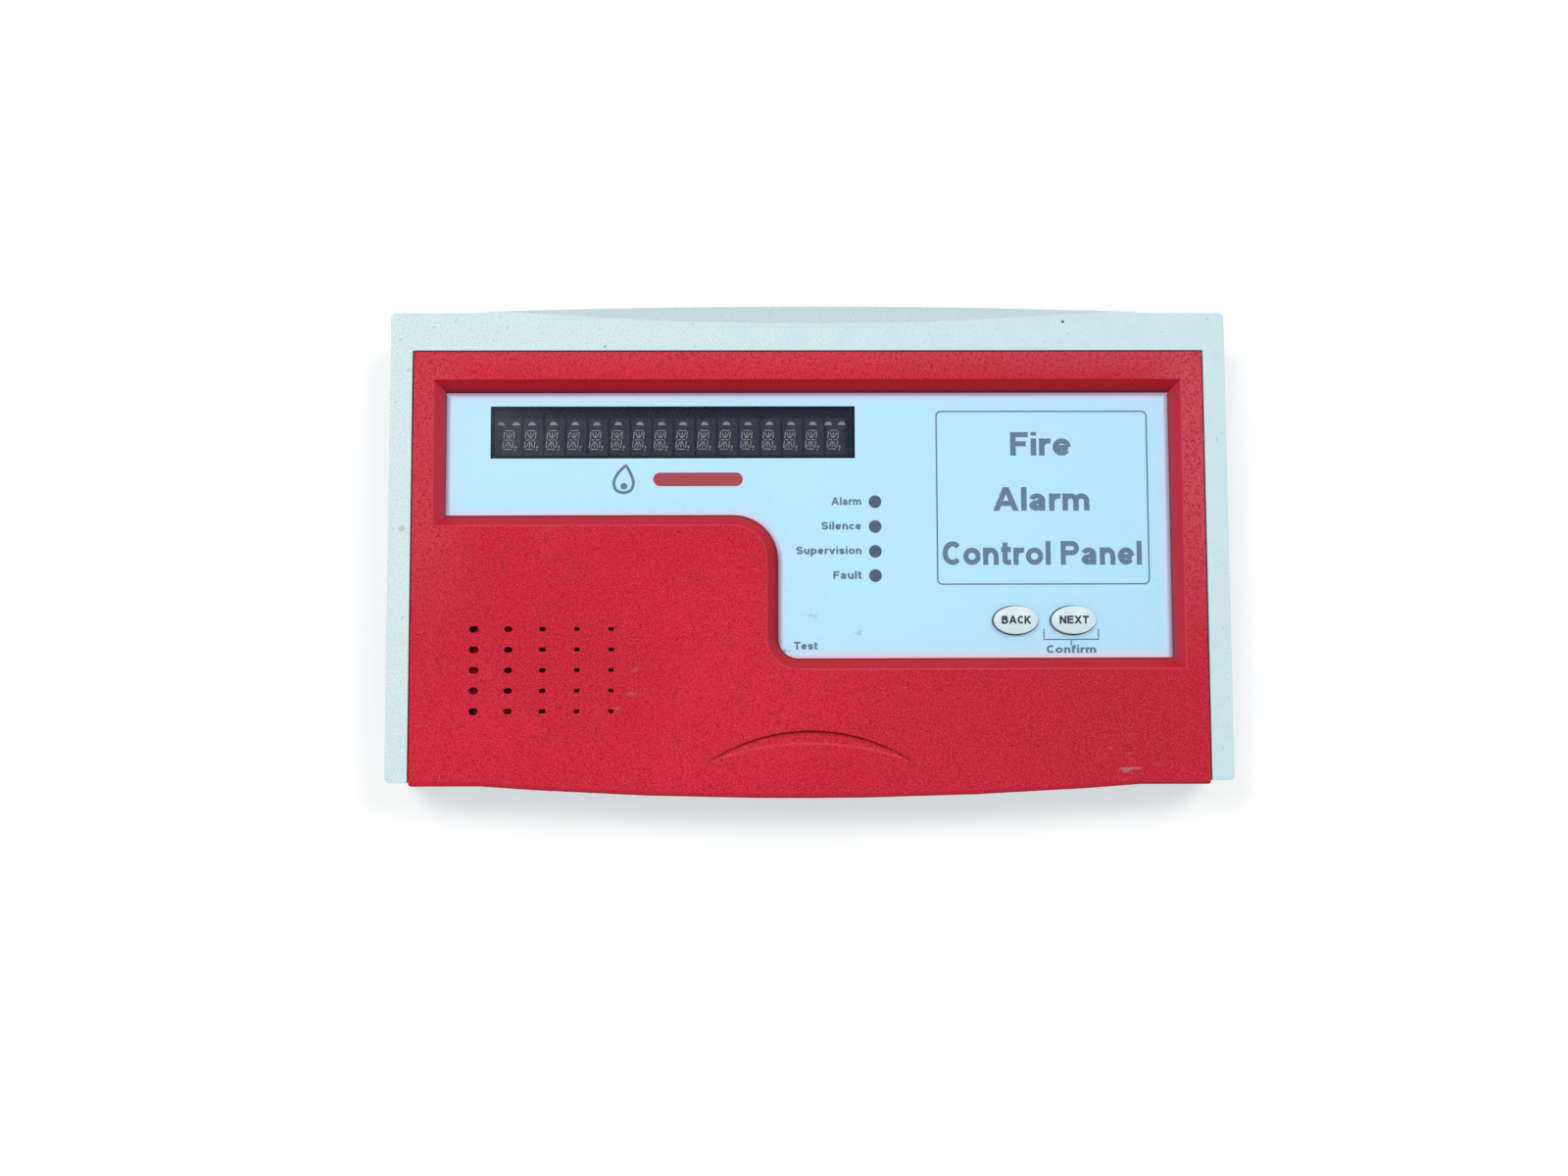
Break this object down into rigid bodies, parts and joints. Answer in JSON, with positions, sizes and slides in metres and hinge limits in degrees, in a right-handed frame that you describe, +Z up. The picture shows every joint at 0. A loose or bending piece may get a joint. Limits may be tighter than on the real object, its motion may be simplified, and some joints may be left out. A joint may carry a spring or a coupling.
{
  "type": "fire alarm annunciator",
  "caption": "Shallow wall-mounted fire alarm annunciator with a red faceplate, a display, status lights, two keys and a speaker, on a hinged front.",
  "frame": {"origin": "centre of the wall base's back face, on the wall plane", "axes": "+X to the right and +Z up as a person facing the front sees it; +Y into the wall, so the front faces -Y"},
  "size_m": [0.206, 0.025, 0.122],
  "materials": {
    "off_white_plastic": "fine moulded texture",
    "red_plastic": "fine moulded texture",
    "printed_label": "satin printed film",
    "blank_foil": "satin",
    "light_window": "translucent",
    "smoked_lens": "smoked, glossy",
    "display_glass": "clear",
    "display_metal": "etched",
    "foam": "matte",
    "board_laminate": "solder mask",
    "led_red": "diffused",
    "led_yellow": "diffused",
    "key_plastic": "satin",
    "black_plastic": "satin",
    "plated_steel": "zinc plated",
    "paper_cone": "matte",
    "magnet_steel": "dull",
    "red_insulation": "satin",
    "black_insulation": "satin",
    "natural_nylon": "satin",
    "chip_plastic": "matte",
    "cap_sleeve": "shrink sleeve",
    "ceramic": "matte",
    "copper_wire": "enamelled",
    "crystal_can": "satin",
    "switch_red": "satin",
    "slider_white": "satin",
    "terminal_green": "satin",
    "plunger_red": "satin"
  },
  "bodies": {
    "wall_base": {"wall_base": "off_white_plastic", "base_label": "blank_foil"},
    "front": {"front_housing": "off_white_plastic", "red_faceplate": "red_plastic", "label_overlay": "printed_label", "status_lenses": "light_window", "display_lens": "smoked_lens", "vfd_front_glass": "display_glass", "vfd_frame": "display_glass", "vfd_substrate": "display_glass", "vfd_grids": "display_metal", "vfd_leads": "display_metal", "vfd_cushions": "foam", "main_board": "board_laminate", "led_fire": "led_red", "led_silenced": "led_yellow", "led_supervisory": "led_yellow", "led_trouble": "led_yellow", "led_block": "black_plastic", "prev_switch": "black_plastic", "next_switch": "black_plastic", "speaker_basket": "plated_steel", "speaker_cone": "paper_cone", "speaker_magnet": "magnet_steel", "speaker_gasket": "foam", "speaker_strap": "plated_steel", "strap_screws": "plated_steel", "speaker_lead_red": "red_insulation", "speaker_lead_black": "black_insulation", "speaker_plug": "natural_nylon", "microcontroller": "chip_plastic", "driver_chips": "chip_plastic", "electrolytic_caps": "cap_sleeve", "smd_parts": "ceramic", "inverter_coil": "copper_wire", "crystal": "crystal_can", "address_switch": "switch_red", "data_header": "terminal_green", "terminal_plug": "terminal_green", "terminal_screws": "plated_steel", "tamper_switch": "black_plastic", "board_screws": "plated_steel", "faceplate_screws": "plated_steel"},
    "prev_key": {"prev_key": "key_plastic", "prev_plunger": "black_plastic"},
    "next_key": {"next_key": "key_plastic", "next_plunger": "black_plastic"},
    "tamper_plunger": {"tamper_plunger": "plunger_red"},
    "address_slider_1": {"address_slider_1": "slider_white"},
    "address_slider_2": {"address_slider_2": "slider_white"},
    "address_slider_3": {"address_slider_3": "slider_white"},
    "address_slider_4": {"address_slider_4": "slider_white"},
    "address_slider_5": {"address_slider_5": "slider_white"},
    "address_slider_6": {"address_slider_6": "slider_white"}
  },
  "joints": [
    {"name": "front_swing", "type": "hinge", "parent": "wall_base", "child": "front", "pos_m": [0, -0.0032, 0.0559], "axis": [-1, 0, 0], "range_deg": [0, 75]},
    {"name": "prev_key_press", "type": "slide", "parent": "front", "child": "prev_key", "axis": [0, 1, 0], "range_m": [0, 0.0008], "stiffness_N_per_m": 400, "springref_m": -0.001},
    {"name": "next_key_press", "type": "slide", "parent": "front", "child": "next_key", "axis": [0, 1, 0], "range_m": [0, 0.0008], "stiffness_N_per_m": 400, "springref_m": -0.001},
    {"name": "tamper_plunger_slide", "type": "slide", "parent": "front", "child": "tamper_plunger", "axis": [0, 1, 0], "range_m": [0, 0.002]},
    {"name": "address_slide_1", "type": "slide", "parent": "front", "child": "address_slider_1", "axis": [1, 0, 0], "range_m": [0, 0.0022]},
    {"name": "address_slide_2", "type": "slide", "parent": "front", "child": "address_slider_2", "axis": [1, 0, 0], "range_m": [0, 0.0022]},
    {"name": "address_slide_3", "type": "slide", "parent": "front", "child": "address_slider_3", "axis": [1, 0, 0], "range_m": [0, 0.0022]},
    {"name": "address_slide_4", "type": "slide", "parent": "front", "child": "address_slider_4", "axis": [1, 0, 0], "range_m": [0, 0.0022]},
    {"name": "address_slide_5", "type": "slide", "parent": "front", "child": "address_slider_5", "axis": [1, 0, 0], "range_m": [0, 0.0022]},
    {"name": "address_slide_6", "type": "slide", "parent": "front", "child": "address_slider_6", "axis": [1, 0, 0], "range_m": [0, 0.0022]}
  ],
  "couplings": [
    {"joint": "tamper_plunger_slide", "follows": "front_swing", "m_per_rad": 0.0015}
  ]
}
